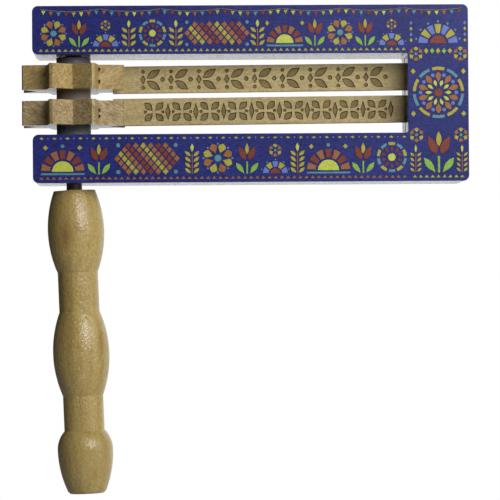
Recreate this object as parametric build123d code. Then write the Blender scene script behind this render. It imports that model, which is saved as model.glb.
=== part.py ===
from build123d import *
from math import radians, sqrt, tan
import os

# A hand-swung ratchet rattle. A C-shaped wooden frame turns freely round an axle that stands in a
# turned handle. Two star cogs are pinned to the axle, and two springy wooden tongues, glued into a
# kerf at the closed end of the frame, snap from notch to notch as the frame goes round.
#
# Millimetres. +Z is up along the axle, +X runs from the axle to the closed end of the frame and
# -Y is the decorated front. The origin is on the axle's line, level with the crest of the handle's
# middle swell, where the hand closes.

# Axle
axle_diameter = 6.35        # quarter-inch rod
axle_grip = 45.0            # length glued into the handle
axle_cover = 4.1            # wood left above the bore in the upper bar
axle_top_room = 1.0         # free depth above the axle's top end
running_clearance = 0.08    # radial, axle in the frame's bores

# Cogs
cog_radius = 22.2
cog_thickness = 10.0
tooth_count = 8
notch_depth = 7.5
notch_angle = 105.0

# Spacers and washer, threaded loosely on the axle
spacer_diameter = 14.0
upper_spacer_length = 3.55
middle_spacer_length = 4.5
lower_spacer_length = 2.45
washer_diameter = 14.0
washer_thickness = 1.3
spacer_slack = 0.2          # radial
end_play = 0.25             # between the stack on the axle and each bar

# Brads that pin the cogs to the axle, driven along one notch
brad_diameter = 1.1
brad_bite = 1.5             # depth of the points in the axle
brad_stand = 0.35           # ends above the bottom line of the notch
upper_cog_high_brad = 1.8   # below the top face of its cog
upper_cog_low_brad = 3.2    # above the bottom face of its cog
lower_cog_high_brad = 3.9
lower_cog_low_brad = 3.6

# Frame
frame_length = 176.4
frame_depth = 30.0
bar_height = 19.65
end_bar_width = 24.6
axle_inset = 16.2           # axle's line from the open ends of the bars
outer_corner_radius = 2.4
inner_corner_radius = 0.9

# Tongues
tongue_width = 11.1
tongue_thickness = 2.5
tongue_gap = 2.1            # between the two tongues
tongue_tip_room = 0.45      # from the corners of a tip to the flanks of its notch, along X
tongue_droop = 0.43         # degrees, the tips hang a little lower than the roots
kerf_depth = 12.0
kerf_end_room = 0.3
glue_line = 0.05            # each side of a tongue in the kerf

# Handle
handle_gap = 2.5            # bare axle between the frame and the handle
handle_lean = 2.1           # degrees, towards the closed end of the frame
handle_top_diameter = 16.9
swell_diameter = 23.0
neck_diameter = 16.4
knob_diameter = 22.6
butt_diameter = 15.6        # above the chamfer
butt_flat_diameter = 13.8
butt_chamfer = 0.9          # height of the chamfer
upper_swell_length = 33.4
upper_neck_length = 16.0
middle_swell_length = 34.2
lower_neck_length = 14.2
knob_taper_length = 16.9

# Levels, from the crest of the middle swell upwards
handle_top = upper_swell_length + upper_neck_length + middle_swell_length / 2
axle_bottom = handle_top - axle_grip
frame_bottom = handle_top + handle_gap
window_bottom = frame_bottom + bar_height
washer_bottom = window_bottom + end_play
lower_spacer_bottom = washer_bottom + washer_thickness
lower_cog_bottom = lower_spacer_bottom + lower_spacer_length
middle_spacer_bottom = lower_cog_bottom + cog_thickness
upper_cog_bottom = middle_spacer_bottom + middle_spacer_length
upper_spacer_bottom = upper_cog_bottom + cog_thickness
window_top = upper_spacer_bottom + upper_spacer_length + end_play
frame_top = window_top + bar_height
axle_top = frame_top - axle_cover - axle_top_room

# Radii and slopes
axle_radius = axle_diameter / 2
notch_root = cog_radius - notch_depth
notch_slope = tan(radians(notch_angle / 2))

# Places along the frame
open_end = -axle_inset
closed_end = frame_length - axle_inset
inner_wall = closed_end - end_bar_width
tongue_tip = notch_root + tongue_thickness / 2 / notch_slope + tongue_tip_room


def disc(radius: float, bottom: float, height: float) -> Part:
    """Return an upright cylinder on the axle's line, standing on the level bottom."""
    return Pos(0, 0, bottom + height / 2) * Cylinder(radius, height)


def ring(diameter: float, bottom: float, height: float) -> Part:
    """Return a loose ring round the axle."""
    return disc(diameter / 2, bottom, height) - disc(axle_radius + spacer_slack, bottom, height)


def make_brads(cog_bottom: float, from_top: float, from_bottom: float) -> list[Part]:
    """Return the two brads of one cog, in the first notch round to the front from the tongues."""
    inner_end = axle_radius - brad_bite
    length = notch_root + brad_stand - inner_end
    shank = Pos(inner_end + length / 2, 0, 0) * Rot(0, 90, 0) * Cylinder(brad_diameter / 2, length)
    turned = Rot(0, 0, -360 / tooth_count) * shank
    levels = (cog_bottom + cog_thickness - from_top, cog_bottom + from_bottom)
    return [Pos(0, 0, level) * turned for level in levels]


def make_cog(cog_bottom: float, brads: list[Part]) -> Part:
    """Return a round blank with V notches cut all round, bored for the axle and for its brads."""
    reach = cog_radius
    half_mouth = reach * notch_slope
    notch = make_face(
        Polyline(
            (notch_root, 0),
            (notch_root + reach, half_mouth),
            (notch_root + reach, -half_mouth),
            close=True,
        )
    )
    star = Circle(cog_radius) - PolarLocations(0, tooth_count) * notch
    cog = Pos(0, 0, cog_bottom) * extrude(star, cog_thickness)
    cog -= disc(axle_radius, cog_bottom, cog_thickness)
    for brad in brads:
        cog -= brad
    return cog


def make_axle(brads: list[Part]) -> Part:
    """Return the rod from the handle's bore to the upper bar, drilled for the brad points."""
    axle = disc(axle_radius, axle_bottom, axle_top - axle_bottom)
    for brad in brads:
        axle -= brad
    return axle


def make_frame() -> Part:
    """Return the C-shaped frame with its two bores and the kerf for the tongues."""
    corners = [
        (open_end, frame_bottom),
        (closed_end, frame_bottom),
        (closed_end, frame_top),
        (open_end, frame_top),
        (open_end, window_top),
        (inner_wall, window_top),
        (inner_wall, window_bottom),
        (open_end, window_bottom),
    ]
    outline = make_face(Polyline(*corners, close=True))
    outer = [v for v in outline.vertices() if abs(v.X - inner_wall) > inner_corner_radius]
    outline = fillet(outer, outer_corner_radius)
    inner = [v for v in outline.vertices() if abs(v.X - inner_wall) < inner_corner_radius]
    outline = fillet(inner, inner_corner_radius)
    frame = extrude(Plane.XZ * outline, frame_depth / 2, both=True)
    bore_radius = axle_radius + running_clearance
    frame -= disc(bore_radius, frame_bottom, bar_height)
    frame -= disc(bore_radius, window_top, bar_height - axle_cover)
    kerf = Box(kerf_depth, tongue_thickness + 2 * glue_line, window_top - window_bottom)
    return frame - Pos(inner_wall + kerf_depth / 2, 0, (window_bottom + window_top) / 2) * kerf


def make_tongue(side: int) -> Part:
    """Return one tongue, the upper one for side 1 and the lower one for side -1."""
    length = inner_wall + kerf_depth - kerf_end_room - tongue_tip
    level = side * (tongue_width + tongue_gap) / 2
    slat = Pos(length / 2, 0, level) * Box(length, tongue_thickness, tongue_width)
    stack_middle = (lower_cog_bottom + upper_cog_bottom + cog_thickness) / 2
    return Pos(tongue_tip, 0, stack_middle) * Rot(0, -tongue_droop, 0) * slat


def make_handle() -> Part:
    """Return the turned handle, leaning on the axle, with the axle's bore along the axle."""
    upper_crease = -upper_swell_length
    middle_start = upper_crease - upper_neck_length
    lower_crease = middle_start - middle_swell_length
    shoulder_start = lower_crease - lower_neck_length
    top_edge = (handle_top_diameter / 2, 0)
    neck = neck_diameter / 2
    swell = swell_diameter / 2
    knob = knob_diameter / 2
    knob_crest = shoulder_start - sqrt(knob**2 - neck**2)
    taper_end = knob_crest - knob_taper_length
    taper_edge = (butt_diameter / 2, taper_end)
    butt = taper_end - butt_chamfer
    flat_edge = (butt_flat_diameter / 2, butt)
    profile = [
        Line((0, 0), top_edge),
        ThreePointArc(top_edge, (swell, upper_crease / 2), (neck, upper_crease)),
        Line((neck, upper_crease), (neck, middle_start)),
        ThreePointArc(
            (neck, middle_start),
            (swell, (middle_start + lower_crease) / 2),
            (neck, lower_crease),
        ),
        Line((neck, lower_crease), (neck, shoulder_start)),
        TangentArc((knob, knob_crest), (neck, shoulder_start), tangent=(0, 1)),
        TangentArc((knob, knob_crest), taper_edge, tangent=(0, -1)),
        Line(taper_edge, flat_edge),
        Line(flat_edge, (0, butt)),
        Line((0, butt), (0, 0)),
    ]
    turned = revolve(Plane.XZ * make_face(profile), Axis.Z)
    handle = Pos(0, 0, handle_top) * Rot(0, -handle_lean, 0) * turned
    return handle - disc(axle_radius, axle_bottom, frame_bottom - axle_bottom)


def main() -> None:
    """Build every piece and write it to its own file."""
    upper_brads = make_brads(upper_cog_bottom, upper_cog_high_brad, upper_cog_low_brad)
    lower_brads = make_brads(lower_cog_bottom, lower_cog_high_brad, lower_cog_low_brad)
    pieces = {
        "handle": make_handle(),
        "axle": make_axle(upper_brads + lower_brads),
        "upper_cog": make_cog(upper_cog_bottom, upper_brads),
        "lower_cog": make_cog(lower_cog_bottom, lower_brads),
        "upper_cog_brads": Compound(children=upper_brads),
        "lower_cog_brads": Compound(children=lower_brads),
        "upper_spacer": ring(spacer_diameter, upper_spacer_bottom, upper_spacer_length),
        "middle_spacer": ring(spacer_diameter, middle_spacer_bottom, middle_spacer_length),
        "lower_spacer": ring(spacer_diameter, lower_spacer_bottom, lower_spacer_length),
        "thrust_washer": ring(washer_diameter, washer_bottom, washer_thickness),
        "frame": make_frame(),
        "upper_tongue": make_tongue(1),
        "lower_tongue": make_tongue(-1),
    }
    os.makedirs("parts", exist_ok=True)
    for node, shape in pieces.items():
        export_step(shape, f"parts/{node}.step")


main()
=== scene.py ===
"""Looks of a hand-swung ratchet rattle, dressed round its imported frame.

Everything is in metres in the frame of the CAD part: +Z up along the axle, +X towards the closed
end of the rattle's frame, -Y towards the decorated front. Ornament is drawn in millimetres, as X
and Z on the frame, and along and across a tongue. Scales of noise are lumps per metre.
"""
import logging
import math
from dataclasses import dataclass, field
from enum import Enum
from typing import Sequence, Union

import bmesh
import bpy
from mathutils import Euler, Matrix, Vector
from mathutils.geometry import delaunay_2d_cdt


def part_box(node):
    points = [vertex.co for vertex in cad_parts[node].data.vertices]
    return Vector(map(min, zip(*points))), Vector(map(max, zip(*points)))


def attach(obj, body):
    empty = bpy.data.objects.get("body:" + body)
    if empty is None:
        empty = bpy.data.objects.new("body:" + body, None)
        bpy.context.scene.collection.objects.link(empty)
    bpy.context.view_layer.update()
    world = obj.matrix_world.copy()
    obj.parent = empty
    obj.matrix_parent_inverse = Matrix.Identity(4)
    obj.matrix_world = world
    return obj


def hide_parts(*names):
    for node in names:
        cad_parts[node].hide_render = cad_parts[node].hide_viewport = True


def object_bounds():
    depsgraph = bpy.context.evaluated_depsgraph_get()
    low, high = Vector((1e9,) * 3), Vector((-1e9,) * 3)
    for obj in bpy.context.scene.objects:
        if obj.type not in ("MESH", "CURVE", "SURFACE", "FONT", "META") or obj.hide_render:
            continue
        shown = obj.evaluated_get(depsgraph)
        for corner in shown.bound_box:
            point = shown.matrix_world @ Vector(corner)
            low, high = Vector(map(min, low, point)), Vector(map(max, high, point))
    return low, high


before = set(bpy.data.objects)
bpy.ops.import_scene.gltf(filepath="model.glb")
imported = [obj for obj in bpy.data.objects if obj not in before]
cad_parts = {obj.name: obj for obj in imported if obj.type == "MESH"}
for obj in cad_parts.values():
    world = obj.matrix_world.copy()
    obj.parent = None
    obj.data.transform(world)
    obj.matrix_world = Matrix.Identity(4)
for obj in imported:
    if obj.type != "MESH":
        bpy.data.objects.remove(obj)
cad_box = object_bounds()
log = logging.getLogger("rattle")

MM = 0.001
FRAME_BODY = "frame_set"

# Mesh work
WELD_GAP = 0.001 * MM
MERGE_GAP = 1e-7
FLAT_ANGLE = math.radians(1.0)
SHARP_ANGLE = math.radians(30.0)

# Satin surface that the paint on the broad faces and the ink share
SATIN_ROUGHNESS = (0.31, 0.39)
SATIN_SPECULAR = 0.12
INK_RELIEF = 0.015 * MM

Point = tuple[float, float]
Pair = tuple[float, float]
Loop = list[Point]
Colour = tuple[float, float, float]
Socket = bpy.types.NodeSocket
Value = Union[float, Sequence[float], Socket]


def linear(colour: Colour) -> tuple[float, float, float, float]:
    """Turn a screen colour into the linear colour that shaders take.

    Args:
        colour: Red, green and blue as seen on a screen, each from 0 to 255.

    Returns:
        Linear red, green and blue, and full opacity.
    """
    def channel(value: float) -> float:
        """Undo the screen's gamma for one channel."""
        share = value / 255
        return share / 12.92 if share <= 0.04045 else ((share + 0.055) / 1.055) ** 2.4

    return (*(channel(value) for value in colour), 1.0)


class Graph:
    """A node tree, with a short call for each kind of node that the finishes use."""

    def __init__(self, tree: bpy.types.NodeTree) -> None:
        """Work on an existing tree."""
        self.tree = tree

    def put(self, socket: Socket, value: Value) -> None:
        """Link a socket to another one, or set its value.

        Args:
            socket: Input to fill.
            value: Number, vector or colour to set, or output to link.
        """
        if isinstance(value, bpy.types.NodeSocket):
            self.tree.links.new(value, socket)
        else:
            socket.default_value = value

    def node(self, kind: str, inputs: dict[Union[int, str], Value], **settings: object) -> bpy.types.Node:
        """Add a node.

        Args:
            kind: Node type, without its ShaderNode prefix.
            inputs: Value or link for each input socket, by name or number.
            settings: Attributes of the node.

        Returns:
            The new node.
        """
        made = self.tree.nodes.new("ShaderNode" + kind)
        for name, value in settings.items():
            setattr(made, name, value)
        for key, value in inputs.items():
            self.put(made.inputs[key], value)
        return made

    def place(self) -> Socket:
        """Return the point on the object, in metres in the shared frame."""
        return self.node("TexCoord", {}).outputs["Object"]

    def turned(self, point: Value, turn: Sequence[float]) -> Socket:
        """Turn a point about the origin by an Euler turn in degrees."""
        angles = [math.radians(a) for a in turn]
        return self.node("Mapping", {"Vector": point, "Rotation": angles}).outputs[0]

    def scaled(self, point: Value, scale: Sequence[float]) -> Socket:
        """Scale a point about the origin."""
        return self.node("Mapping", {"Vector": point, "Scale": scale}).outputs[0]

    def grained(self, point: Value, scale: Pair) -> Socket:
        """Scale a point by one factor along X, the grain, and by another across it."""
        return self.scaled(point, (scale[0], scale[1], scale[1]))

    def part(self, point: Value, axis: str) -> Socket:
        """Return one coordinate of a point."""
        return self.node("SeparateXYZ", {0: point}).outputs[axis]

    def vector(self, operation: str, a: Value, b: Value = (0.0, 0.0, 0.0)) -> bpy.types.Node:
        """Add a node of vector arithmetic."""
        return self.node("VectorMath", {0: a, 1: b}, operation=operation)

    def noise(self, point: Value, scale: float = 1.0, detail: float = 2.0, rough: float = 0.5) -> Socket:
        """Return smooth noise from 0 to 1, with about scale lumps per unit of point."""
        inputs = {"Vector": point, "Scale": scale, "Detail": detail, "Roughness": rough}
        return self.node("TexNoise", inputs).outputs[0]

    def cells(self, point: Value) -> Socket:
        """Return the distance to the nearest of many scattered points."""
        return self.node("TexVoronoi", {"Vector": point, "Scale": 1.0}).outputs["Distance"]

    def calc(self, operation: str, a: Value, b: Value = 0.0) -> Socket:
        """Return the result of one arithmetic operation."""
        return self.node("Math", {0: a, 1: b}, operation=operation).outputs[0]

    def spread(
        self, value: Value, low: float, high: float, to_low: float = 0.0, to_high: float = 1.0
    ) -> Socket:
        """Map the range low to high onto another range, smoothly and clamped."""
        inputs = {0: value, 1: low, 2: high, 3: to_low, 4: to_high}
        return self.node("MapRange", inputs, interpolation_type="SMOOTHSTEP").outputs[0]

    def full(self, noise: Value, to_low: float = 0.0, to_high: float = 1.0) -> Socket:
        """Spread noise, most of which lies about its middle, over a whole range."""
        return self.spread(noise, 0.3, 0.7, to_low, to_high)

    def between(self, share: Value, a: Value, b: Value) -> Socket:
        """Return a mix of two numbers."""
        return self.node("Mix", {0: share, 2: a, 3: b}, data_type="FLOAT").outputs[0]

    def mix(self, share: Value, a: Value, b: Value, blend: str = "MIX") -> Socket:
        """Return a mix of two colours."""
        made = self.node("Mix", {0: share, 6: a, 7: b}, data_type="RGBA", blend_type=blend)
        return made.outputs[2]

    def tint(self, colour: Value, value: Value, swing: float) -> Socket:
        """Make a colour darker and lighter by turns.

        Args:
            colour: Colour to change.
            value: Number from 0, where it is darkest, to 1, where it is lightest.
            swing: Share of its brightness by which it changes either way.

        Returns:
            The changed colour.
        """
        factor = self.node("MapRange", {0: value, 3: 1 - swing, 4: 1 + swing}).outputs[0]
        grey = self.node("CombineColor", {0: factor, 1: factor, 2: factor}).outputs[0]
        return self.mix(1.0, colour, grey, "MULTIPLY")

    def bump(self, height: Value, depth: Value, **below: Socket) -> Socket:
        """Return a normal for a height from 0 to 1 that stands for depth in metres."""
        return self.node("Bump", {"Height": height, "Distance": depth, **below}).outputs[0]


class Coat(Graph):
    """The node tree of a new material, round one principled shader."""

    def __init__(self, name: str) -> None:
        """Start a material whose only nodes are its shader and output.

        Args:
            name: Name of the material.
        """
        self.material = bpy.data.materials.new(name)
        self.material.use_nodes = True
        super().__init__(self.material.node_tree)
        self.shader = self.tree.nodes["Principled BSDF"]

    def shade(self, **sockets: Value) -> None:
        """Set or link sockets of the shader.

        Args:
            sockets: Value or link for each, named in lower case with underscores.
        """
        for name, value in sockets.items():
            found = next(s for s in self.shader.inputs if s.name.lower().replace(" ", "_") == name)
            self.put(found, value)


@dataclass(frozen=True)
class Wood:
    """A pale, close-grained wood, with fibres, growth bands and short dark ray flecks.

    A scale that is a pair is for noise along the grain and across it. Streak, fibre, hatch and
    speckle are the swings in brightness that each layer makes. Faces that look straight up or down
    have the roughness planed, if it isn't zero. Ripple and relief are the heights of bumps.
    """

    name: str
    light: Colour
    dark: Colour
    fleck: Colour
    turn: tuple[float, float, float] = (0.0, 0.0, 0.0)
    band_scale: Pair = (14.0, 330.0)
    blotch: Colour = (150, 110, 60)
    blotch_share: float = 0.25
    blotch_scale: float = 55.0
    fleck_share: float = 0.5
    fleck_scale: Pair = (420.0, 1900.0)
    fleck_patches: float = 420.0
    streak: float = 0.2
    streak_scale: Pair = (60.0, 1500.0)
    fibre: float = 0.14
    fibre_scale: Pair = (260.0, 5200.0)
    hatch: float = 0.14
    hatch_scale: Pair = (420.0, 1600.0)
    speckle: float = 0.0
    speckle_scale: float = 900.0
    roughness: float = 0.55
    roughness_swing: float = 0.07
    planed: float = 0.0
    specular: float = 0.3
    coat: float = 0.0
    coat_roughness: float = 0.2
    ripple: float = 0.0
    ripple_scale: float = 900.0
    relief: float = 0.05 * MM

    def flecks(self, g: Graph, along: Socket) -> Socket:
        """Scatter the ray flecks.

        Args:
            g: Tree to build in.
            along: Point whose X runs along the grain.

        Returns:
            One on a fleck and zero beside it.
        """
        ray = g.spread(g.cells(g.grained(along, self.fleck_scale)), 0.16, 0.34, 1.0, 0.0)
        sparse = g.spread(g.noise(along, self.fleck_patches, detail=1), 0.42, 0.62)
        return g.calc("MULTIPLY", ray, sparse)

    def graph(self) -> tuple[Coat, Socket]:
        """Build the node tree.

        Returns:
            The tree, with everything but the base colour linked, and the colour's socket.
        """
        g = Coat(self.name)
        point = g.place()
        along = g.turned(point, self.turn)
        bands = g.noise(g.grained(along, self.band_scale), detail=3, rough=0.55)
        streaks = g.noise(g.grained(along, self.streak_scale), detail=4, rough=0.65)
        fibres = g.noise(g.grained(along, self.fibre_scale))
        hatching = g.full(g.noise(g.grained(along, self.hatch_scale), rough=0.6))
        flecks = self.flecks(g, along)
        colour = g.mix(g.full(bands), linear(self.light), linear(self.dark))
        blotches = g.spread(g.noise(along, self.blotch_scale), 0.5, 0.75, 0.0, self.blotch_share)
        colour = g.mix(blotches, colour, linear(self.blotch))
        colour = g.tint(colour, streaks, self.streak)
        colour = g.tint(colour, fibres, self.fibre)
        colour = g.tint(colour, hatching, self.hatch)
        if self.speckle:
            dots = g.full(g.noise(point, self.speckle_scale, detail=3, rough=0.65))
            colour = g.tint(colour, dots, self.speckle)
        colour = g.mix(g.calc("MULTIPLY", flecks, self.fleck_share), colour, linear(self.fleck))
        height = g.between(0.6, fibres, hatching)
        height = g.calc("SUBTRACT", height, g.calc("MULTIPLY", flecks, 0.6))
        normal = g.bump(height, self.relief)
        if self.ripple:
            normal = g.bump(g.noise(point, self.ripple_scale), self.ripple, Normal=normal)
        dull, bright = self.roughness + self.roughness_swing, self.roughness - self.roughness_swing
        rough = g.spread(streaks, 0.25, 0.75, dull, bright)
        if self.planed:
            upright = g.part(g.node("NewGeometry", {}).outputs["True Normal"], "Z")
            level = g.spread(g.calc("ABSOLUTE", upright), 0.9, 0.98)
            rough = g.between(level, rough, self.planed)
        g.shade(roughness=rough, normal=normal, specular_ior_level=self.specular)
        if self.coat:
            g.shade(coat_weight=self.coat, coat_roughness=self.coat_roughness, coat_normal=normal)
        return g, colour

    def material(self) -> bpy.types.Material:
        """Build the plain finish.

        Returns:
            The material.
        """
        g, colour = self.graph()
        g.shade(base_color=colour)
        return g.material


@dataclass(frozen=True)
class Stain:
    """Patches of another colour in the wood, such as rust that has crept from brads.

    A patch has its full strength within core of its spot and ends at reach. It is upright times as
    tall as wide. Its edge wanders by a share of its reach, with so many lumps to the reach.
    """

    spots: tuple[Vector, ...]
    colour: Colour
    core: float
    reach: float
    strength: float
    upright: float = 1.0
    wander: float = 0.4
    lumps: float = 2.0

    def over(self, g: Graph, colour: Socket) -> Socket:
        """Lay the stain over a colour.

        Args:
            g: Tree to build in.
            colour: Colour under the stain.

        Returns:
            The stained colour.
        """
        squeeze = Vector((1.0, 1.0, 1.0 / self.upright))
        point = g.scaled(g.place(), squeeze)
        edge = g.calc("MULTIPLY", g.noise(g.place(), self.lumps / self.reach), self.wander * self.reach)
        for spot in self.spots:
            gap = g.vector("DISTANCE", point, squeeze * spot).outputs["Value"]
            share = g.spread(g.calc("ADD", gap, edge), self.core, self.reach, self.strength, 0.0)
            colour = g.mix(share, colour, linear(self.colour))
        return colour


@dataclass(frozen=True)
class BluePaint:
    """Satin blue paint, smooth on the front and back and grainy and glossy on the edges.

    The front and back lie at half_depth, and the smooth paint fades out over the two depths of wrap
    behind them. The kerf is a box about its middle, in which the sawn wood is bare.
    """

    half_depth: float
    kerf_middle: Vector
    kerf_half: Vector
    name: str = "blue_paint"
    blue: Colour = (37, 43, 107)
    blue_deep: Colour = (33, 38, 98)
    bare: Colour = (58, 46, 32)
    wrap: Pair = (0.4 * MM, 0.25 * MM)
    smooth_relief: float = 0.02 * MM
    coarse_relief: float = 0.04 * MM
    gloss_roughness: Pair = (0.36, 0.06)
    gloss_specular: float = 0.8

    def in_kerf(self, g: Graph, point: Socket) -> Socket:
        """Tell the bare wood of the kerf from the painted wood.

        Args:
            g: Tree to build in.
            point: Point on the frame.

        Returns:
            One inside the kerf and zero elsewhere.
        """
        offset = g.vector("SUBTRACT", point, self.kerf_middle).outputs[0]
        share = g.vector("DIVIDE", offset, self.kerf_half).outputs[0]
        size = g.vector("ABSOLUTE", share).outputs[0]
        largest = g.calc("MAXIMUM", g.part(size, "X"), g.part(size, "Y"))
        return g.calc("LESS_THAN", g.calc("MAXIMUM", largest, g.part(size, "Z")), 1.0)

    def material(self) -> bpy.types.Material:
        """Build the finish of the frame.

        Returns:
            The material.
        """
        g = Coat(self.name)
        point = g.place()
        depth = g.calc("ABSOLUTE", g.part(point, "Y"))
        broad = g.spread(depth, *(self.half_depth - behind for behind in self.wrap))
        cloth = g.noise(g.scaled(point, (900, 900, 2600)), rough=0.6)
        speck = g.noise(point, scale=3800, rough=0.7)
        drift = g.noise(point, scale=38, detail=3)
        brushed = g.noise(g.scaled(point, (110, 2400, 1700)), detail=3, rough=0.6)
        grain = g.noise(point, scale=1500, detail=3, rough=0.7)
        colour = g.mix(g.full(drift), linear(self.blue), linear(self.blue_deep))
        colour = g.tint(colour, g.full(g.between(broad, brushed, cloth)), 0.34)
        colour = g.tint(colour, speck, 0.2)
        colour = g.mix(self.in_kerf(g, point), colour, linear(self.bare))
        satin = g.spread(speck, 0.2, 0.8, *SATIN_ROUGHNESS)
        gloss = g.spread(grain, 0.36, 0.6, *self.gloss_roughness)
        coarse = g.between(0.4, grain, brushed)
        smooth = g.between(0.4, speck, cloth)
        relief = g.between(broad, self.coarse_relief, self.smooth_relief)
        g.shade(
            base_color=colour,
            roughness=g.between(broad, gloss, satin),
            normal=g.bump(g.between(broad, coarse, smooth), relief),
            specular_ior_level=g.between(broad, self.gloss_specular, SATIN_SPECULAR),
        )
        return g.material


class Ink(Enum):
    """Colours of the print, as they look in a plain light."""

    GOLD = (158, 150, 58)
    LEMON = (176, 184, 76)
    RUST = (141, 94, 56)
    BRICK = (114, 56, 45)
    TEAL = (85, 127, 142)
    SKY = (95, 112, 176)
    LIME = (123, 163, 70)

    @property
    def piece(self) -> str:
        """Name of the piece that holds all the shapes of this colour."""
        return "print_" + self.name.lower()

    def material(self) -> bpy.types.Material:
        """Build a satin ink with a fine mottle.

        Returns:
            The material.
        """
        g = Coat(self.piece)
        point = g.place()
        speck = g.noise(point, scale=3600, rough=0.7)
        cloth = g.noise(g.scaled(point, (1900, 900, 1100)), rough=0.6)
        colour = g.tint(linear(self.value), speck, 0.16)
        g.shade(
            base_color=g.tint(colour, g.full(cloth), 0.12),
            roughness=g.spread(speck, 0.2, 0.8, *SATIN_ROUGHNESS),
            normal=g.bump(speck, INK_RELIEF),
            specular_ior_level=SATIN_SPECULAR,
        )
        return g.material


@dataclass(frozen=True)
class GreyPlastic:
    """Semi-gloss grey plastic with faint turning lines round it and dust on it."""

    name: str
    colour: Colour
    dusty: Colour = (128, 122, 112)
    relief: float = 0.03 * MM

    def material(self) -> bpy.types.Material:
        """Build the finish of a spacer.

        Returns:
            The material.
        """
        g = Coat(self.name)
        point = g.place()
        lines = g.noise(g.scaled(point, (40, 40, 2600)), detail=3, rough=0.7)
        dust = g.noise(point, scale=900, detail=3)
        colour = g.tint(linear(self.colour), lines, 0.18)
        colour = g.mix(g.spread(dust, 0.55, 0.8, 0.0, 0.3), colour, linear(self.dusty))
        rough = g.full(dust, 0.46, 0.62)
        g.shade(base_color=colour, roughness=rough, normal=g.bump(lines, self.relief))
        return g.material


@dataclass(frozen=True)
class DarkSteel:
    """Drawn steel rod, dulled to a dark brown-grey."""

    name: str = "dark_steel"
    colour: Colour = (122, 114, 101)
    tarnish: Colour = (102, 93, 80)
    metallic: float = 0.2
    relief: float = 0.02 * MM

    def material(self) -> bpy.types.Material:
        """Build the finish of the axle.

        Returns:
            The material.
        """
        g = Coat(self.name)
        point = g.place()
        drawn = g.noise(g.scaled(point, (3200, 3200, 90)), detail=3, rough=0.6)
        cloud = g.noise(point, scale=420, detail=4, rough=0.6)
        colour = g.mix(g.spread(cloud, 0.35, 0.68), linear(self.colour), linear(self.tarnish))
        g.shade(
            base_color=g.tint(colour, drawn, 0.2),
            metallic=self.metallic,
            roughness=g.full(cloud, 0.48, 0.68),
            normal=g.bump(drawn, self.relief),
        )
        return g.material


@dataclass(frozen=True)
class RustySteel:
    """Brads gone black, with orange rust where the damp has gathered under them."""

    name: str
    rusted: Stain
    dark: Colour = (18, 13, 11)
    brown: Colour = (58, 32, 20)
    specular: float = 0.15
    relief: float = 0.08 * MM

    def material(self) -> bpy.types.Material:
        """Build the finish of the brads.

        Returns:
            The material.
        """
        g = Coat(self.name)
        crust = g.noise(g.place(), scale=2600, detail=4, rough=0.7)
        colour = g.mix(g.spread(crust, 0.45, 0.7), linear(self.dark), linear(self.brown))
        g.shade(
            base_color=self.rusted.over(g, colour),
            roughness=g.spread(crust, 0.4, 0.7, 0.5, 0.85),
            normal=g.bump(crust, self.relief),
            specular_ior_level=self.specular,
        )
        return g.material


@dataclass(frozen=True)
class Engraved:
    """Wood scorched by the engraver: an olive-brown floor, or the darker wall round it."""

    name: str
    colour: Colour
    scorch: Colour
    specular: float = 0.2
    relief: float = 0.05 * MM

    def material(self) -> bpy.types.Material:
        """Build the finish of the engraved band.

        Returns:
            The material.
        """
        g = Coat(self.name)
        point = g.place()
        lines = g.noise(g.scaled(point, (160, 160, 4200)))
        soot = g.noise(point, scale=700, detail=4, rough=0.65)
        colour = g.mix(g.spread(soot, 0.35, 0.7), linear(self.colour), linear(self.scorch))
        g.shade(
            base_color=g.tint(colour, lines, 0.18),
            roughness=g.full(soot, 0.7, 0.85),
            normal=g.bump(lines, self.relief),
            specular_ior_level=self.specular,
        )
        return g.material


def dress(obj: bpy.types.Object, *materials: bpy.types.Material) -> None:
    """Give an object new materials in place of what it has.

    Args:
        obj: CAD node or new piece.
        materials: Materials for its slots, in order.
    """
    # Clearing also resets the slot of every face, so a new piece, which has none, is left out
    if obj.data.materials:
        obj.data.materials.clear()
    for material in materials:
        obj.data.materials.append(material)
    log.info("%s: dressed in %s", obj.name, ", ".join(material.name for material in materials))


def ease_edges(node: str, width: float, segments: int = 2) -> None:
    """Round the sharp edges of a CAD node a little, with modifiers only.

    Args:
        node: Name of the CAD node.
        width: Width of the rounding.
        segments: Faces across the rounding.
    """
    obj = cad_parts[node]
    weld = obj.modifiers.new("weld", "WELD")
    weld.merge_threshold = WELD_GAP
    flat = obj.modifiers.new("flat_faces", "DECIMATE")
    flat.decimate_type = "DISSOLVE"
    flat.angle_limit = FLAT_ANGLE
    bevel = obj.modifiers.new("eased_edges", "BEVEL")
    bevel.width = width
    bevel.segments = segments
    bevel.limit_method = "ANGLE"
    bevel.angle_limit = SHARP_ANGLE
    bevel.harden_normals = False
    normals = obj.modifiers.new("even_shading", "WEIGHTED_NORMAL")
    normals.keep_sharp = False
    normals.weight = 100


def new_piece(name: str, bm: bmesh.types.BMesh, body: str) -> bpy.types.Object:
    """Turn a finished bmesh into a piece that rides on a body.

    Args:
        name: Name of the piece.
        bm: Its shape, which is freed.
        body: Body that it moves with.

    Returns:
        The new object.
    """
    mesh = bpy.data.meshes.new(name)
    bmesh.ops.recalc_face_normals(bm, faces=bm.faces)
    bm.to_mesh(mesh)
    bm.free()
    obj = bpy.data.objects.new(name, mesh)
    bpy.context.scene.collection.objects.link(obj)
    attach(obj, body)
    log.info("%s: %d faces", name, len(mesh.polygons))
    return obj


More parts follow.
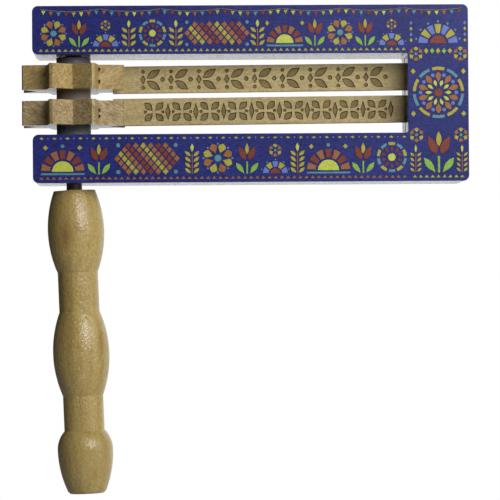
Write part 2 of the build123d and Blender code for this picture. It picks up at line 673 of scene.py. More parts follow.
class Figure:
    """Flat outlines in millimetres, from which the print and the engraving are composed."""

    @staticmethod
    def polar(at: Point, radius: float, degrees: float) -> Point:
        """Return the point at a distance and direction from another."""
        angle = math.radians(degrees)
        return at[0] + radius * math.cos(angle), at[1] + radius * math.sin(angle)

    @staticmethod
    def disc(at: Point, radius: float, points: int = 16) -> Loop:
        """Return a round dot."""
        return [Figure.polar(at, radius, 360 * i / points) for i in range(points)]

    @staticmethod
    def lozenge(at: Point, width: float, height: float) -> Loop:
        """Return a diamond that stands on its point."""
        x, z = at
        return [(x + width / 2, z), (x, z + height / 2), (x - width / 2, z), (x, z - height / 2)]

    @staticmethod
    def bar(at: Point, width: float, height: float) -> Loop:
        """Return an upright rectangle about its middle."""
        (x, z), w, h = at, width / 2, height / 2
        return [(x - w, z - h), (x + w, z - h), (x + w, z + h), (x - w, z + h)]

    @staticmethod
    def tooth(at: Point, width: float, height: float) -> Loop:
        """Return a triangle on its base, or hanging from it where height is negative."""
        (x, z), half = at, math.copysign(width / 2, height)
        return [(x - half, z), (x + half, z), (x, z + height)]

    @staticmethod
    def wedge(at: Point, inner: float, outer: float, start: float, stop: float, steps: int = 5) -> Loop:
        """Return a piece of a ring, or of a disc where the inner radius is zero.

        Args:
            at: Middle of the ring.
            inner: Its inner radius.
            outer: Its outer radius.
            start: Direction in degrees at which the piece begins.
            stop: Direction at which it ends.
            steps: Straight runs along each curve.

        Returns:
            The outline.
        """
        angles = [start + (stop - start) * i / steps for i in range(steps + 1)]
        rim = [Figure.polar(at, outer, a) for a in angles]
        if inner == 0:
            return rim + [at]
        return rim + [Figure.polar(at, inner, a) for a in reversed(angles)]

    @staticmethod
    def leaf(
        at: Point, length: float, width: float, degrees: float, fullest: float = 0.5, steps: int = 7
    ) -> Loop:
        """Return a blade with both ends pointed.

        Args:
            at: Its foot.
            length: From foot to tip.
            width: Across the fullest part.
            degrees: Direction of the tip.
            fullest: Share of the length at which it is widest.
            steps: Points along each side.

        Returns:
            The outline.
        """
        bend = math.log(0.5) / math.log(fullest)
        shares = [i / steps for i in range(steps + 1)]
        side = [(s, -width / 2 * math.sin(math.pi * s**bend)) for s in shares]
        outline = side + [(s, -w) for s, w in reversed(side[1:-1])]
        angle = math.radians(degrees)
        c, n = math.cos(angle), math.sin(angle)
        return [(at[0] + s * length * c - w * n, at[1] + s * length * n + w * c) for s, w in outline]

    @staticmethod
    def drawn_in(loop: Loop, gap: float) -> Loop:
        """Draw an outline in all round.

        Args:
            loop: The outline.
            gap: How far each side moves in.

        Returns:
            The smaller outline.
        """
        spots = [Vector(spot) for spot in loop]
        inner = []
        for i, spot in enumerate(spots):
            before = (spot - spots[i - 1]).normalized()
            after = (spots[(i + 1) % len(spots)] - spot).normalized()
            inward = before.orthogonal() + after.orthogonal()
            inner.append(tuple(spot + inward * gap / (1 + before.dot(after))))
        return inner


@dataclass
class FestivePrint:
    """A generic festive ornament on the front of the frame, in raised ink.

    Rosettes, tulips, suns, fans, sprigs and lattices stand side by side on toothed borders along
    both bars, with a string of pennants above, and a medallion fills the closed end.
    """

    face: float
    raised: float = 0.26 * MM
    sunk: float = 0.04 * MM
    slope: float = 0.13
    shapes: dict[Ink, list[Loop]] = field(default_factory=lambda: {ink: [] for ink in Ink})

    def add(self, ink: Ink, *loops: Loop) -> None:
        """Put shapes into the sheet of one colour."""
        self.shapes[ink].extend(loops)

    def petals(
        self,
        inks: tuple[Ink, ...],
        at: Point,
        foot: float,
        size: Pair,
        count: int,
        first: float = 0.5,
        fullest: float = 0.6,
    ) -> None:
        """Draw a ring of petals, in several colours by turns.

        Args:
            inks: The colours.
            at: Middle of the ring.
            foot: Radius at which the petals begin.
            size: Length and width of a petal.
            count: How many petals.
            first: Direction of the first, as a share of the angle between two.
            fullest: Share of the length at which a petal is widest.
        """
        for i in range(count):
            way = 360 * (i + first) / count
            start = Figure.polar(at, foot, way)
            self.add(inks[i % len(inks)], Figure.leaf(start, *size, way, fullest=fullest))

    def segments(
        self,
        inks: tuple[Ink, Ink],
        at: Point,
        radii: Pair,
        count: int,
        gap: float,
        sweep: float = 180.0,
        steps: int = 3,
    ) -> None:
        """Draw a ring or an arch of segments, in two colours by turns.

        Args:
            inks: The colours.
            at: Middle of the ring.
            radii: Inner and outer radius.
            count: How many segments.
            gap: Share of its place that a segment leaves free at each end.
            sweep: Angle in degrees of the whole.
            steps: Straight runs along the curves of a segment.
        """
        step = sweep / count
        for i in range(count):
            start, stop = (i + gap) * step, (i + 1 - gap) * step
            self.add(inks[i % 2], Figure.wedge(at, *radii, start, stop, steps))

    def rosette(self, at: Point, radius: float, petals: int = 8) -> None:
        """Draw a flower of petals in two colours round a disc, with dots between their tips.

        Args:
            at: Its middle.
            radius: From the middle to the tips.
            petals: How many petals.
        """
        self.add(Ink.TEAL, Figure.disc(at, 0.24 * radius))
        size = (0.7 * radius, 4.2 * radius / petals)
        self.petals((Ink.RUST, Ink.GOLD), at, 0.3 * radius, size, petals, fullest=0.64)
        for i in range(petals):
            dot = Figure.polar(at, 0.92 * radius, 360 * (i + 1) / petals)
            self.add(Ink.SKY, Figure.disc(dot, 0.085 * radius, points=10))

    def wheel(self, at: Point, radius: float, spokes: int = 10) -> None:
        """Draw a disc inside a ring of petals and a broken ring.

        Args:
            at: Its middle.
            radius: Its outer radius.
            spokes: How many petals, and pieces of the ring.
        """
        self.add(Ink.LEMON, Figure.disc(at, 0.26 * radius))
        self.petals((Ink.BRICK,), at, 0.33 * radius, (0.4 * radius, 2.0 * radius / spokes), spokes)
        radii = (0.78 * radius, radius)
        self.segments((Ink.GOLD, Ink.TEAL), at, radii, spokes, 0.1, sweep=360, steps=4)

    def sun(self, at: Point, radius: float, rays: int = 7) -> None:
        """Draw half a disc with rays, rising from a bar.

        Args:
            at: Middle of the half disc.
            radius: To the tips of the rays.
            rays: How many rays.
        """
        self.add(Ink.LEMON, Figure.wedge(at, 0, 0.5 * radius, 0, 180, steps=14))
        self.segments((Ink.RUST, Ink.BRICK), at, (0.58 * radius, radius), rays, 0.12)
        self.add(Ink.TEAL, Figure.bar((at[0], at[1] - 0.9), 2 * radius, 0.9))

    def fan(self, at: Point, radius: float, ribs: int = 5) -> None:
        """Draw half a flower of broad ribs round a half disc.

        Args:
            at: Middle of the half disc.
            radius: To the dots at the tips of the ribs.
            ribs: How many ribs.
        """
        self.add(Ink.BRICK, Figure.wedge(at, 0, 0.36 * radius, 0, 180, steps=10))
        self.segments((Ink.SKY, Ink.GOLD), at, (0.44 * radius, 0.84 * radius), ribs, 0.08)
        for i in range(ribs):
            tip = Figure.polar(at, 0.94 * radius, 180 * (i + 0.5) / ribs)
            self.add(Ink.TEAL, Figure.disc(tip, 0.06 * radius, points=10))

    def tulip(self, at: Point, height: float) -> None:
        """Draw a tulip on its stem between two leaves.

        Args:
            at: Foot of the stem.
            height: From the foot to the top.
        """
        x, z = at
        cup = z + 0.5 * height
        self.add(Ink.LIME, Figure.bar((x, z + 0.2 * height), 0.06 * height, 0.4 * height))
        for side in (-1, 1):
            foot = (x + side * 0.08 * height, z)
            blade = Figure.leaf(foot, 0.46 * height, 0.17 * height, 90 - side * 38, fullest=0.55)
            self.add(Ink.LIME, blade)
            foot = (x + side * 0.05 * height, cup - 0.06 * height)
            petal = Figure.leaf(foot, 0.5 * height, 0.21 * height, 90 - side * 25, fullest=0.42)
            self.add(Ink.BRICK, petal)
        foot = (x, cup + 0.12 * height)
        self.add(Ink.GOLD, Figure.leaf(foot, 0.38 * height, 0.14 * height, 90, fullest=0.45))

    def sprig(self, at: Point, height: float, pairs: int = 3, blade: float = 3.3) -> None:
        """Draw a straight twig with pairs of leaves and one at its tip.

        Args:
            at: Foot of the twig.
            height: From the foot to the tip.
            pairs: How many pairs of leaves.
            blade: Length of a leaf.
        """
        x, z = at
        gap = 0.72 * height / pairs
        for i in range(pairs):
            for side in (-1, 1):
                foot = (x + side * 0.5, z + (i + 0.15) * gap)
                self.add(Ink.GOLD, Figure.leaf(foot, blade, 0.44 * blade, 90 - side * 48))
        self.add(Ink.LEMON, Figure.leaf((x, z + 0.7 * height), 0.3 * height, 0.44 * blade, 90))
        self.add(Ink.RUST, Figure.bar((x, z + 0.33 * height), 0.5, 0.66 * height))

    def lattice(self, at: Point, columns: int, rows: int, pitch: float = 3.0) -> None:
        """Draw a field of diamonds whose rows get shorter towards the top and bottom.

        Args:
            at: Its middle.
            columns: Diamonds in the middle row.
            rows: How many rows.
            pitch: From one diamond of a row to the next.
        """
        order = (Ink.RUST, Ink.GOLD, Ink.RUST, Ink.BRICK)
        for row in range(rows):
            off = row - rows // 2
            count = columns - abs(off)
            for i in range(count):
                spot = (at[0] + (i - (count - 1) / 2) * pitch, at[1] + off * 0.58 * pitch)
                ink = order[(i + max(off, 0)) % len(order)]
                self.add(ink, Figure.lozenge(spot, 0.84 * pitch, 0.97 * pitch))

    def beads(self, at: Point, height: float, count: int) -> None:
        """Draw an upright row of small diamonds.

        Args:
            at: Its lower end.
            height: From end to end.
            count: How many diamonds.
        """
        x, z = at
        gap = height / count
        for i in range(count):
            ink = Ink.SKY if i % 2 else Ink.GOLD
            self.add(ink, Figure.lozenge((x, z + (i + 0.5) * gap), 1.5, 0.84 * gap))

    @staticmethod
    def row(start: float, stop: float, spacing: float) -> tuple[list[float], float]:
        """Divide a level stretch into equal places.

        Args:
            start: Its left end.
            stop: Its right end.
            spacing: Wanted width of a place.

        Returns:
            The middle of each place, and the width that fits.
        """
        count = round((stop - start) / spacing)
        pitch = (stop - start) / count
        return [start + (i + 0.5) * pitch for i in range(count)], pitch

    def border(self, start: float, stop: float, level: float, ink: Ink) -> None:
        """Draw a row of teeth.

        Args:
            start: Left end of the row.
            stop: Right end of the row.
            level: Height at which the teeth stand.
            ink: Their colour.
        """
        middles, pitch = self.row(start, stop, 2.5)
        for x in middles:
            self.add(ink, Figure.tooth((x, level), 0.84 * pitch, 1.3))

    def edging(self, start: float, stop: float, level: float) -> None:
        """Draw a level row of diamonds and dots by turns.

        Args:
            start: Left end of the row.
            stop: Right end of the row.
            level: Height of its middle.
        """
        for i, x in enumerate(self.row(start, stop, 2.6)[0]):
            if i % 2:
                self.add(Ink.SKY, Figure.disc((x, level), 0.42, points=12))
            else:
                self.add(Ink.GOLD, Figure.lozenge((x, level), 2.0, 1.2))

    def pennants(self, start: float, stop: float, level: float, swags: int, flags: int) -> None:
        """Hang strings of pennants, each string in a shallow curve.

        Args:
            start: Left end of the first string.
            stop: Right end of the last string.
            level: Height at which the strings are tied.
            swags: How many strings.
            flags: Pennants on each string.
        """
        order = (Ink.LEMON, Ink.RUST, Ink.TEAL, Ink.BRICK, Ink.GOLD)
        span = (stop - start) / swags
        sag = 1.0
        thread = 0.3
        steps = 12
        for swag in range(swags):
            def hang(share: float) -> Point:
                """Return the point of this string at a share of its span."""
                return start + (swag + share) * span, level - sag * 4 * share * (1 - share)

            upper = [hang(0.01 + 0.98 * i / steps) for i in range(steps + 1)]
            self.add(Ink.GOLD, [(x, z - thread) for x, z in upper] + upper[::-1])
            for i in range(flags):
                x, z = hang((i + 0.5) / flags)
                flag = Figure.tooth((x, z - thread - 0.2), 1.95, -1.9)
                self.add(order[(i + swag) % len(order)], flag)

    def medallion(self, at: Point) -> None:
        """Draw the large flower of the closed end, with rings of petals, dots and segments.

        Args:
            at: Its middle.
        """
        count = 10
        self.add(Ink.BRICK, Figure.disc(at, 1.8, points=20))
        self.petals((Ink.LEMON,), at, 2.2, (3.2, 1.5), count, first=0.0)
        self.petals((Ink.RUST,), at, 3.9, (4.7, 2.5), count)
        for i in range(count):
            dot = Figure.polar(at, 7.3, 360 * i / count)
            self.add(Ink.SKY, Figure.disc(dot, 0.85, points=12))
        self.segments((Ink.GOLD, Ink.TEAL), at, (9.1, 10.5), count, 1 / 12, sweep=360, steps=5)

    def closed_end(self, middle: float, low: float, high: float) -> None:
        """Fill the closed end.

        Args:
            middle: Its middle line.
            low: Its lower edge.
            high: Its upper edge.
        """
        centre = (low + high) / 2
        self.medallion((middle, centre))
        self.fan((middle, high - 16.0), 9.6, ribs=7)
        self.tulip((middle, low + 3.3), 17.0)
        for side in (-1, 1):
            self.sprig((middle + side * 9.4, low + 3.4), 11.4, pairs=4, blade=2.5)
            for level in (low + 18.6, high - 20.1):
                self.rosette((middle + side * 9.0, level), 3.0, petals=6)
            self.beads((middle + side * 10.9, high - 15.8), 9.4, 4)
            for rise in (-8.6, 8.6):
                spot = (middle + side * 10.2, centre + rise)
                self.add(Ink.GOLD, Figure.lozenge(spot, 2.2, 2.6))
        for i in range(5):
            spot = (middle + (i - 2) * 2.4, high - 18.9)
            self.add(Ink.LIME if i % 2 else Ink.GOLD, Figure.lozenge(spot, 2.1, 2.6))
        self.border(middle - 11.0, middle + 10.6, low + 1.3, Ink.GOLD)

    def upper_bar(self, start: float, stop: float, low: float, high: float) -> None:
        """Fill the upper bar with motifs, each at its place from the open end.

        Args:
            start: The open end.
            stop: Where the closed end begins.
            low: Lower edge of the bar.
            high: Upper edge of the bar.
        """
        self.border(start + 2.2, stop - 0.4, low + 1.0, Ink.GOLD)
        base = low + 2.9
        middle = low + 8.4
        for spot in (8.6, 124.4):
            self.rosette((start + spot, middle), 5.5)
        for spot in (18.9, 114.2, 134.6):
            self.tulip((start + spot, base), 11.2)
        for spot in (29.6, 145.3):
            self.fan((start + spot, base), 6.2)
            self.rosette((start + spot, base + 8.7), 2.2, petals=6)
        for spot in (39.0, 58.0, 91.0):
            self.sprig((start + spot, base), 11.0)
        self.wheel((start + 48.5, middle), 5.6)
        self.lattice((start + 74.6, middle), columns=9, rows=5)
        self.sun((start + 102.0, base + 1.2), 7.4)
        for spot in (62.4, 86.8):
            for rise in (0.9, 9.9):
                self.add(Ink.TEAL, Figure.disc((start + spot, base + rise), 0.8))
        for spot in (94.9, 109.1):
            self.add(Ink.GOLD, Figure.lozenge((start + spot, base + 9.4), 1.8, 2.4))
        self.pennants(start + 3.0, stop + 22.5, high - 1.2, swags=7, flags=8)

    def lower_bar(self, start: float, stop: float, low: float, high: float) -> None:
        """Fill the lower bar with motifs, each at its place from the open end.

        Args:
            start: The open end.
            stop: Where the closed end begins.
            low: Lower edge of the bar.
            high: Upper edge of the bar.
        """
        self.border(start + 2.2, stop - 0.4, low + 1.3, Ink.RUST)
        self.edging(start + 2.2, stop - 0.4, high - 1.7)
        base = low + 3.3
        middle = low + 9.7
        for spot in (12.0, 119.3):
            self.sun((start + spot, base + 1.2), 8.8)
            for side in (-1, 1):
                beside = (start + spot + side * 6.9, base + 10.9)
                self.add(Ink.GOLD, Figure.lozenge(beside, 2.2, 2.2))
            self.add(Ink.TEAL, Figure.disc((start + spot, base + 11.5), 0.8))
        for spot in (26.6, 86.4, 133.4):
            self.tulip((start + spot, base), 12.6)
        self.lattice((start + 46.0, middle), columns=9, rows=7)
        for spot in (64.2, 106.8):
            self.sprig((start + spot, base), 12.6, pairs=4)
        self.rosette((start + 74.6, middle), 6.3)
        self.fan((start + 97.8, base), 6.1)
        self.rosette((start + 97.8, base + 9.5), 2.7, petals=6)
        self.wheel((start + 145.0, middle), 6.2)
        for spot in (34.4, 57.6):
            for rise in (1.0, 11.8):
                self.add(Ink.TEAL, Figure.disc((start + spot, base + rise), 0.9))

    def build(self) -> None:
        """Raise the shapes of each colour from the face as one piece."""
        for ink, loops in self.shapes.items():
            bm = bmesh.new()
            for loop in loops:
                crest = Figure.drawn_in(loop, self.slope)
                top = [bm.verts.new((x * MM, self.face - self.raised, z * MM)) for x, z in crest]
                foot = [bm.verts.new((x * MM, self.face + self.sunk, z * MM)) for x, z in loop]
                bm.faces.new(top)
                bm.faces.new(reversed(foot))
                for i in range(len(loop)):
                    bm.faces.new((top[i - 1], top[i], foot[i], foot[i - 1]))
            dress(new_piece(ink.piece, bm, FRAME_BODY), ink.material())


@dataclass
class RattleFrame:
    """The C-shaped wooden frame with its print. Sizes are in millimetres.

    The bare part of the kerf stops short of the inner wall by a lip.
    """

    bar_height: float = 19.65
    end_width: float = 24.6
    kerf_depth: float = 12.0
    kerf_width: float = 2.9
    kerf_lip: float = 0.1
    easing: float = 0.35

    def paint(self) -> None:
        """Paint the frame and ease its edges."""
        low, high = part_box("frame")
        wall = high.x - self.end_width * MM
        reach = self.kerf_depth / 2
        window = (high.z - low.z) / 2 - self.bar_height * MM
        middle = Vector((wall + reach * MM, 0, (low.z + high.z) / 2))
        half = Vector(((reach - self.kerf_lip) * MM, self.kerf_width / 2 * MM, window))
        dress(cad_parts["frame"], BluePaint(high.y, middle, half).material())
        ease_edges("frame", self.easing * MM, segments=3)

    def decorate(self) -> None:
        """Lay the print on the front."""
        low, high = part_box("frame")
        left, right = low.x / MM, high.x / MM
        bottom, top = low.z / MM, high.z / MM
        wall = right - self.end_width
        sheet = FestivePrint(face=low.y)
        sheet.upper_bar(left, wall, top - self.bar_height, top)
        sheet.lower_bar(left, wall, bottom, bottom + self.bar_height)
        sheet.closed_end(right - self.end_width / 2, bottom, top)
        sheet.build()


class Band(Enum):
    """Engraved ornaments, one for each tongue."""

    GARLAND = "garland"
    FLOWERS = "flowers"

    def unit(self, at: float) -> list[Loop]:
        """Draw one repeat of the ornament.

        Args:
            at: Distance of its middle along the tongue.

        Returns:
            Its shapes.
        """
        if self is Band.GARLAND:
            shapes = [Figure.lozenge((at - 4.3, 0), 2.4, 4.0), Figure.disc((at + 3.7, 0), 0.95, points=14)]
            for side in (-1, 1):
                foot = (at - 2.7, side * 0.5)
                shapes.append(Figure.leaf(foot, 6.6, 3.1, side * 34, fullest=0.47))
                shapes.append(Figure.disc((at - 4.3, side * 3.3), 0.8, points=14))
            return shapes
        shapes = [Figure.lozenge((at + 5.7, 0), 2.3, 7.2)]
        for way in (45, 135, 225, 315):
            shapes.append(Figure.leaf(Figure.polar((at, 0), 0.7, way), 4.7, 2.9, way, fullest=0.55))
        for side in (-1, 1):
            shapes.append(Figure.disc((at + side * 3.6, 0), 0.65, points=14))
        return shapes


class SlatFace(Enum):
    """Material slots of an engraved slat, besides its plain wood."""

    FLOOR = 1
    WALL = 2


@dataclass
class Tongue:
    """One springy slat with an engraved band on its front.

    The band starts so many millimetres from the tip. Its shapes are cut to a depth, with walls that
    slope in.
    """

    node: str
    piece: str
    band: Band
    finish: Wood = Wood(
        "tongue_beech",
        light=(176, 158, 110),
        dark=(164, 146, 98),
        fleck=(124, 103, 64),
        fleck_share=0.35,
        blotch=(150, 124, 78),
        hatch=0.16,
        speckle=0.12,
    )
    floor_tones: tuple[Colour, Colour] = ((130, 115, 76), (112, 98, 62))
    wall_tones: tuple[Colour, Colour] = ((72, 58, 34), (48, 37, 21))
    band_start: float = 16.6
    repeats: int = 9
    pitch: float = 11.4
    depth: float = 0.5 * MM
    slope: float = 0.3 * MM
    chamfer: float = 0.2 * MM

    def seat(self) -> tuple[Matrix, float, float, float]:
        """Find where the CAD slat lies.

        Returns:
            A matrix from along, across and front to the frame, and length, width and thickness.
        """
        points = [v.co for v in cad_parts[self.node].data.vertices]
        tip_low = min(points, key=lambda p: p.z)
        tip_high = min(points, key=lambda p: p.x)
        root_low = max(points, key=lambda p: p.x)
        along = root_low - tip_low
        across = tip_high - tip_low
        along.y = across.y = 0
        low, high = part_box(self.node)
        length, width, thickness = along.length, across.length, high.y - low.y
        along.normalize()
        across.normalize()
        start = Vector((tip_low.x, low.y, tip_low.z)) + across * width / 2
        columns = (along, across, Vector((0, -1, 0)), start)
        seat = Matrix([[c[row] for c in columns] for row in range(3)] + [[0, 0, 0, 1]])
        return seat, length, width, thickness

    def loops(self) -> list[Loop]:
        """Draw the whole band.

        Returns:
            Its shapes, in metres along and across the tongue.
        """
        shapes = []
        for i in range(self.repeats):
            shapes += self.band.unit(self.band_start + i * self.pitch)
        return [[(u * MM, v * MM) for u, v in shape] for shape in shapes]

    @staticmethod
    def corners(length: float, width: float, inset: float) -> Loop:
        """Return the corners of the slat's broad side, all drawn in by an inset."""
        v = width / 2 - inset
        return [(inset, -v), (length - inset, -v), (length - inset, v), (inset, v)]

    def front(self, bm: bmesh.types.BMesh, outline: Loop) -> list[bmesh.types.BMVert]:
        """Make the front, with the band cut into it.

        Args:
            bm: Mesh to add to.
            outline: Corners of the front.

        Returns:
            The corners in the mesh.
        """
        loops = self.loops()
        edges = []
        areas = []
        count = 0
        for loop in (outline, *loops):
            ids = list(range(count, count + len(loop)))
            areas.append(ids)
            edges += zip(ids, ids[1:] + ids[:1])
            count += len(loop)
        spots = [Vector(spot) for loop in (outline, *loops) for spot in loop]
        flat, _, tiles, sources, _, owners = delaunay_2d_cdt(spots, edges, areas[1:], 0, MERGE_GAP)
        top = [bm.verts.new((spot.x, spot.y, 0)) for spot in flat]
        place = {source: i for i, found in enumerate(sources) for source in found}
        for tile, owner in zip(tiles, owners):
            if not owner:
                bm.faces.new([top[i] for i in tile])
        for loop, ids in zip(loops, areas[1:]):
            rim = [top[place[i]] for i in ids]
            floor = [bm.verts.new((*spot, -self.depth)) for spot in Figure.drawn_in(loop, self.slope)]
            bm.faces.new(floor).material_index = SlatFace.FLOOR.value
            for i in range(len(rim)):
                wall = bm.faces.new((rim[i - 1], rim[i], floor[i], floor[i - 1]))
                wall.material_index = SlatFace.WALL.value
        return [top[place[i]] for i in areas[0]]

    def build(self) -> None:
        """Make the slat, cut the band into it and let it stand for the CAD node."""
        seat, length, width, thickness = self.seat()
        bm = bmesh.new()
        rings = []
        c = self.chamfer
        for inset, level in ((0, -c), (0, c - thickness), (c, -thickness)):
            ring = self.corners(length, width, inset)
            rings.append([bm.verts.new((u, v, level)) for u, v in ring])
        bm.faces.new(reversed(rings[-1]))
        edge = self.front(bm, self.corners(length, width, c))
        for upper, lower in zip((edge, *rings), rings):
            for i in range(len(edge)):
                bm.faces.new((upper[i - 1], upper[i], lower[i], lower[i - 1]))
        bm.transform(seat)
        piece = new_piece(self.piece, bm, FRAME_BODY)
        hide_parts(self.node)
        floor = Engraved(self.piece + "_engraved", *self.floor_tones)
        wall = Engraved(self.piece + "_scorched", *self.wall_tones)
        dress(piece, self.finish.material(), floor.material(), wall.material())


@dataclass
class Handle:
    """The turned and varnished handle, with brown streaks in its wood."""

    finish: Wood = Wood(
        "varnished_beech",
        light=(174, 152, 91),
        dark=(160, 136, 77),
        fleck=(112, 84, 42),
        turn=(0.0, 90.0, 0.0),
        blotch=(142, 108, 54),
        fleck_share=0.2,
        streak=0.1,
        hatch=0.05,
        speckle=0.12,
        coat=0.75,
        coat_roughness=0.18,
        ripple=0.19 * MM,
    )
    streaks: Stain = Stain(
        (Vector((-3.4, -10.6, 48.0)) * MM, Vector((9.6, -6.4, 3.0)) * MM),
        colour=(128, 88, 40),
        core=0.8 * MM,
        reach=4.6 * MM,
        strength=0.6,
        upright=2.6,
    )

    def dress(self) -> None:
        """Give the handle its finish."""
        g, colour = self.finish.graph()
        g.shade(base_color=self.streaks.over(g, colour))
        dress(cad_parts["handle"], g.material)


@dataclass
class CogStack:
    """The cogs, brads, spacers and washer on the axle.

    The wood is black round the heads of the brads, and orange rust has crept down from them.
    """

    woods: dict[str, Wood] = field(
        default_factory=lambda: {
            "upper_cog": Wood(
                "upper_cog_beech",
                light=(170, 147, 98),
                dark=(154, 130, 82),
                fleck=(108, 84, 50),
                blotch=(130, 96, 52),
                turn=(0.0, 40.0, 0.0),
                streak=0.3,
                hatch=0.26,
                speckle=0.12,
                roughness=0.45,
                specular=0.2,
                planed=0.2,
            ),
            "lower_cog": Wood(
                "lower_cog_beech",
                light=(167, 148, 109),
                dark=(149, 128, 90),
                fleck=(96, 78, 52),
                blotch=(132, 104, 66),
                turn=(0.0, -28.0, 0.0),
                fleck_share=0.85,
                fleck_scale=(190.0, 1250.0),
                streak=0.3,
                hatch=0.34,
                roughness=0.45,
                specular=0.2,
                planed=0.2,
            ),
        }
    )
    # The spacers and washer are one grey plastic: the warm brown of the middle spacer is a painted
    # reflection of the wooden cogs on either side of it, and the lower spacer and washer are a little
    # darker as painted shade.
    rings: dict[str, Colour] = field(
        default_factory=lambda: {
            "upper_spacer": (110, 108, 109),
            "middle_spacer": (130, 117, 103),
            "lower_spacer": (104, 101, 101),
            "thrust_washer": (104, 101, 101),
        }
    )
    rust: Colour = (150, 50, 10)
    black: Colour = (20, 14, 11)
    rust_drop: float = 0.7 * MM
    brad_radius: float = 0.55 * MM
    cog_easing: float = 0.25 * MM
    ring_easing: float = 0.08 * MM

    def heads(self, brads: str) -> tuple[Vector, ...]:
        """Find the heads of a cog's brads.

        Args:
            brads: CAD node of the brads.

        Returns:
            The middle of each head.
        """
        low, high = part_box(brads)
        r = self.brad_radius
        return tuple(Vector((high.x - r, low.y + r, level)) for level in (low.z + r, high.z - r))

    def dress_cog(self, cog: str, wood: Wood) -> None:
        """Give a cog and its brads their finish.

        Args:
            cog: CAD node of the cog.
            wood: What it is cut from.
        """
        brads = cog + "_brads"
        heads = self.heads(brads)
        spots = tuple(head - Vector((0, 0, self.rust_drop)) for head in heads)
        crept = Stain(spots, self.rust, core=0.4 * MM, reach=1.15 * MM, strength=0.9)
        blackened = Stain(heads, self.black, core=0.72 * MM, reach=1.1 * MM, strength=0.95)
        rusted = Stain(spots, self.rust, core=0.15 * MM, reach=0.6 * MM, strength=0.95)
        g, colour = wood.graph()
        g.shade(base_color=blackened.over(g, crept.over(g, colour)))
        dress(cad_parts[cog], g.material)
        dress(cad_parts[brads], RustySteel(brads + "_steel", rusted).material())
        ease_edges(cog, self.cog_easing)

    def dress(self) -> None:
        """Give every piece on the axle, and the axle, its finish."""
        for cog, wood in self.woods.items():
            self.dress_cog(cog, wood)
        # Each ring's grey carries its painted reflection or painted shade from the table of rings.
        for ring, colour in self.rings.items():
            dress(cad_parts[ring], GreyPlastic(ring + "_plastic", colour).material())
            ease_edges(ring, self.ring_easing)
        dress(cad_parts["axle"], DarkSteel().material())


@dataclass(frozen=True)
class Softbox:
    """A square soft lamp that looks at the object's middle.

    Azimuth counts to the right from the front and elevation up from the horizon, in degrees. Power
    is in watts. A lamp that isn't mirrored lights the object but shows in no reflection.
    """

    name: str
    azimuth: float
    elevation: float
    distance: float
    size: float
    power: float
    mirrored: bool

    def build(self) -> None:
        """Hang the lamp."""
        data = bpy.data.lights.new(self.name, "AREA")
        data.size = self.size
        data.energy = self.power
        obj = bpy.data.objects.new(self.name, data)
        obj.visible_camera = False
        obj.visible_glossy = self.mirrored
        bpy.context.scene.collection.objects.link(obj)
        middle = (Vector(cad_box[0]) + Vector(cad_box[1])) / 2
        a, e = math.radians(self.azimuth), math.radians(self.elevation)
        way = Vector((math.sin(a) * math.cos(e), -math.cos(a) * math.cos(e), math.sin(e)))
        obj.location = middle + way * self.distance
        obj.rotation_euler = way.to_track_quat("Z", "Y").to_euler()


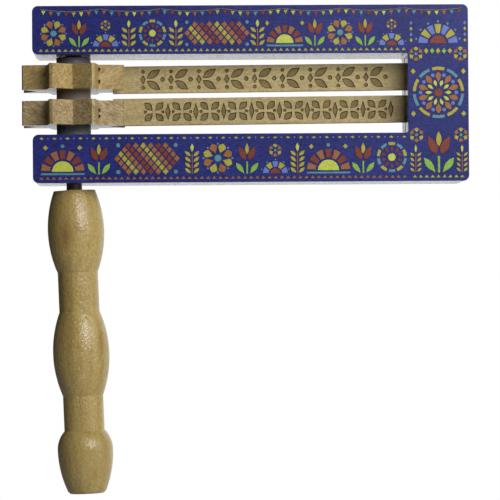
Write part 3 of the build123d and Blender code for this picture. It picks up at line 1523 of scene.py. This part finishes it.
@dataclass
class Studio:
    """Floor, world and lamps.

    The floor takes the shadow near the object and goes over into plain white across shadow_reach.
    Room is the linear colour of the air's own light. Reflections show a white backdrop, which is
    turned by so many degrees to the right from straight behind the object.
    """

    lamps: tuple[Softbox, ...] = (
        Softbox("key_softbox", 20, 22, distance=0.75, size=0.36, power=3.75, mirrored=True),
        Softbox("side_softbox", 50, 16, distance=0.85, size=0.6, power=2.2, mirrored=False),
        Softbox("side_sheen", 50, 16, distance=0.84, size=0.6, power=1.4, mirrored=True),
        Softbox("back_softbox", 165, 14, distance=0.85, size=0.6, power=4.5, mirrored=False),
    )
    floor_colour: Colour = (178, 178, 178)
    floor_roughness: float = 0.9
    floor_specular: float = 0.1
    floor_drop: float = 0.06
    floor_radius: float = 3.0
    shadow_reach: Pair = (0.35, 0.7)
    shadow_lift: float = 0.6
    room: tuple[float, float, float] = (0.038, 0.038, 0.04)
    backdrop_turn: float = 28.0
    backdrop_edge: Pair = (0.7, 0.82)

    def floor(self) -> None:
        """Lay a pale floor that takes the shadow and goes over into plain white further out."""
        mesh = bpy.data.meshes.new("floor")
        bm = bmesh.new()
        bmesh.ops.create_circle(bm, cap_ends=True, segments=64, radius=self.floor_radius)
        bm.to_mesh(mesh)
        bm.free()
        floor = bpy.data.objects.new("floor", mesh)
        bpy.context.scene.collection.objects.link(floor)
        floor.location.z = cad_box[0][2] - self.floor_drop
        g = Coat("pale_floor")
        g.shade(
            base_color=linear(self.floor_colour),
            roughness=self.floor_roughness,
            specular_ior_level=self.floor_specular,
        )
        point = g.place()
        away = g.vector("LENGTH", point).outputs["Value"]
        way = g.vector("NORMALIZE", point).outputs["Vector"]
        white = g.node("Emission", {"Color": (1, 1, 1, 1), "Strength": 1.0})
        pale = g.spread(away, *self.shadow_reach, self.shadow_lift, 1.0)
        share = g.calc("MULTIPLY", pale, self.seen_white(g, way))
        mix = g.node("MixShader", {0: share, 1: g.shader.outputs[0], 2: white.outputs[0]})
        g.put(g.tree.nodes["Material Output"].inputs["Surface"], mix.outputs[0])
        mesh.materials.append(g.material)

    def seen_white(self, g: Graph, way: Value) -> Socket:
        """Return the share of plain white in what a ray meets far from the object.

        Args:
            g: Tree to build in.
            way: Unit direction from the object.

        Returns:
            One all round for the camera, and for reflections one in the backdrop alone.
        """
        path = g.node("LightPath", {})
        mirrored = g.calc("MAXIMUM", path.outputs["Is Glossy Ray"], path.outputs["Is Transmission Ray"])
        turn = math.radians(self.backdrop_turn)
        middle = (math.sin(turn), math.cos(turn), 0.0)
        facing = g.vector("DOT_PRODUCT", way, middle).outputs["Value"]
        backdrop = g.calc("MULTIPLY", mirrored, g.spread(facing, *self.backdrop_edge))
        return g.calc("MAXIMUM", path.outputs["Is Camera Ray"], backdrop)

    def world(self) -> None:
        """Light the air softly, and show plain white where nothing stands."""
        world = bpy.data.worlds.new("studio")
        bpy.context.scene.world = world
        world.use_nodes = True
        world.node_tree.nodes.clear()
        g = Graph(world.node_tree)
        seen = self.seen_white(g, g.node("TexCoord", {}).outputs["Generated"])
        room = g.node("Background", {"Color": (*self.room, 1)})
        white = g.node("Background", {"Color": (1, 1, 1, 1)})
        mix = g.node("MixShader", {0: seen, 1: room.outputs[0], 2: white.outputs[0]})
        g.node("OutputWorld", {"Surface": mix.outputs[0]})

    def build(self) -> None:
        """Set up the whole studio."""
        self.floor()
        self.world()
        for lamp in self.lamps:
            lamp.build()


@dataclass
class PhotoCamera:
    """The photograph's camera: level, square to the rattle's front, aimed by a small turn.

    Square_on is the pixel at which the camera would look straight at the front.
    """

    place: tuple[float, float, float] = (0.037, -1.2, 0.019)
    focal_pixels: float = 2936.8
    picture_pixels: float = 500.0
    square_on: Point = (165.75, 305.8)
    roll: float = 0.42
    sensor: float = 36.0

    def build(self) -> None:
        """Create the camera and make it the scene's."""
        data = bpy.data.cameras.new("photo_camera")
        data.sensor_width = self.sensor
        data.lens = self.focal_pixels / self.picture_pixels * self.sensor
        obj = bpy.data.objects.new("photo_camera", data)
        bpy.context.scene.collection.objects.link(obj)
        middle = self.picture_pixels / 2
        right = math.atan2(middle - self.square_on[0], self.focal_pixels)
        up = math.atan2(self.square_on[1] - middle, self.focal_pixels)
        obj.location = self.place
        obj.rotation_euler = Euler((math.pi / 2 + up, math.radians(self.roll), -right))
        bpy.context.scene.camera = obj


def main() -> None:
    """Build and dress every sub-assembly, then the studio and the camera."""
    logging.basicConfig(level=logging.INFO)
    body = RattleFrame()
    body.paint()
    body.decorate()
    Tongue("upper_tongue", "upper_slat", Band.GARLAND).build()
    Tongue("lower_tongue", "lower_slat", Band.FLOWERS).build()
    CogStack().dress()
    Handle().dress()
    Studio().build()
    PhotoCamera().build()
    bpy.context.scene.view_settings.view_transform = "Standard"


if __name__ == "__main__":
    main()
